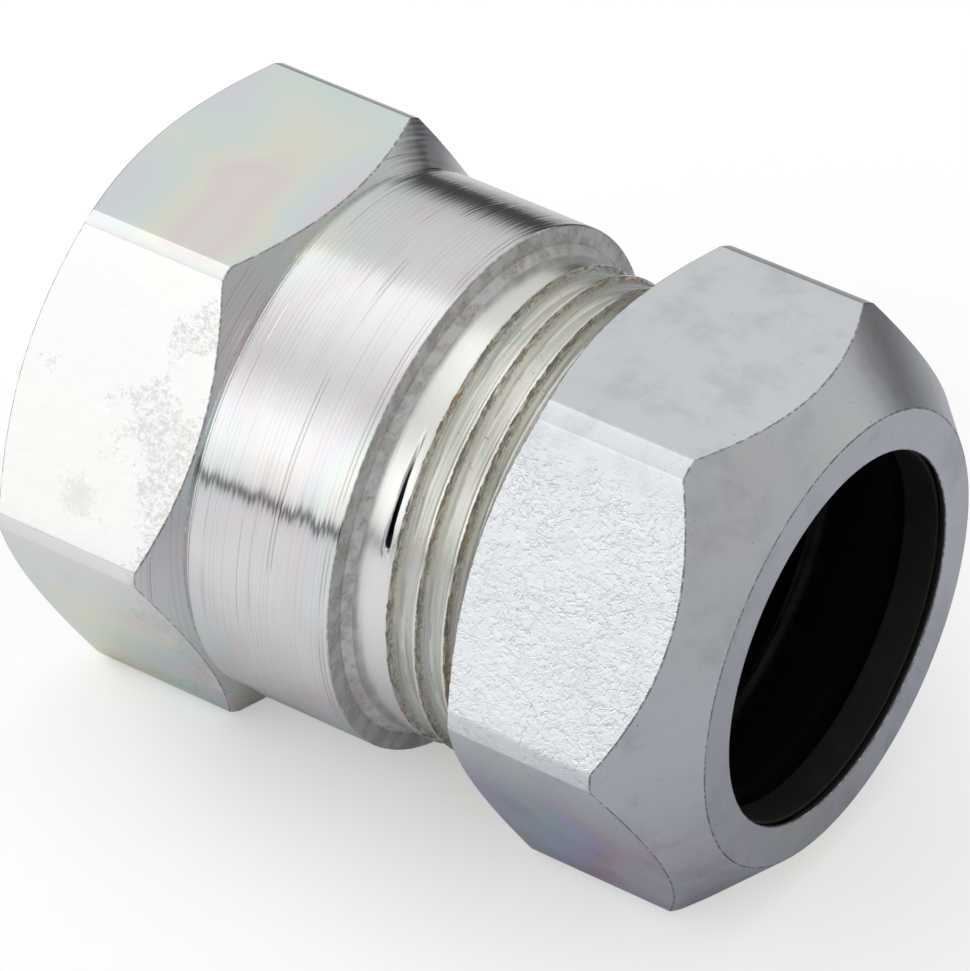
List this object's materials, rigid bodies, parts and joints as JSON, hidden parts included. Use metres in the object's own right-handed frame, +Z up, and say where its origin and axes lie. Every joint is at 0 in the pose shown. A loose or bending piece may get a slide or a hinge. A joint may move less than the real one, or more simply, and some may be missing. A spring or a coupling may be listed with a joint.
{
  "type": "threaded coupling",
  "caption": "Zinc-plated steel compression coupling: hexagonal body with a female pipe thread, and a screwed nut with a conical front that clamps and seals a plain pipe.",
  "frame": {"origin": "under the middle of the part's length, on the plane of the lower flats of both hexagons", "axes": "+X along the pipe axis towards the nut's mouth, +Z up, square to the top flats"},
  "size_m": [0.072, 0.0568, 0.05],
  "materials": {
    "body_zinc": "turned, bright zinc plating with a faint iridescent passivation",
    "nut_zinc": "satin zinc plating, finely dented",
    "seal_rubber": "matt black rubber",
    "washer_zinc": "zinc-plated",
    "clamp_steel": "hardened, blackened spring steel"
  },
  "bodies": {
    "coupling": {"coupling_body": "body_zinc", "clamp_ring": "clamp_steel"},
    "seals": {"seal_ring": "seal_rubber", "thrust_washer": "washer_zinc"},
    "nut": {"compression_nut": "nut_zinc"}
  },
  "joints": [
    {"name": "nut_travel", "type": "slide", "parent": "coupling", "child": "seals", "axis": [1, 0, 0], "range_m": [-0.0031, 0.0061]},
    {"name": "nut_turn", "type": "hinge", "parent": "seals", "child": "nut", "pos_m": [0, 0, 0.025], "axis": [1, 0, 0], "range_deg": [-360, 720]}
  ],
  "couplings": [
    {"joint": "nut_travel", "follows": "nut_turn", "m_per_rad": 0.00047746}
  ]
}
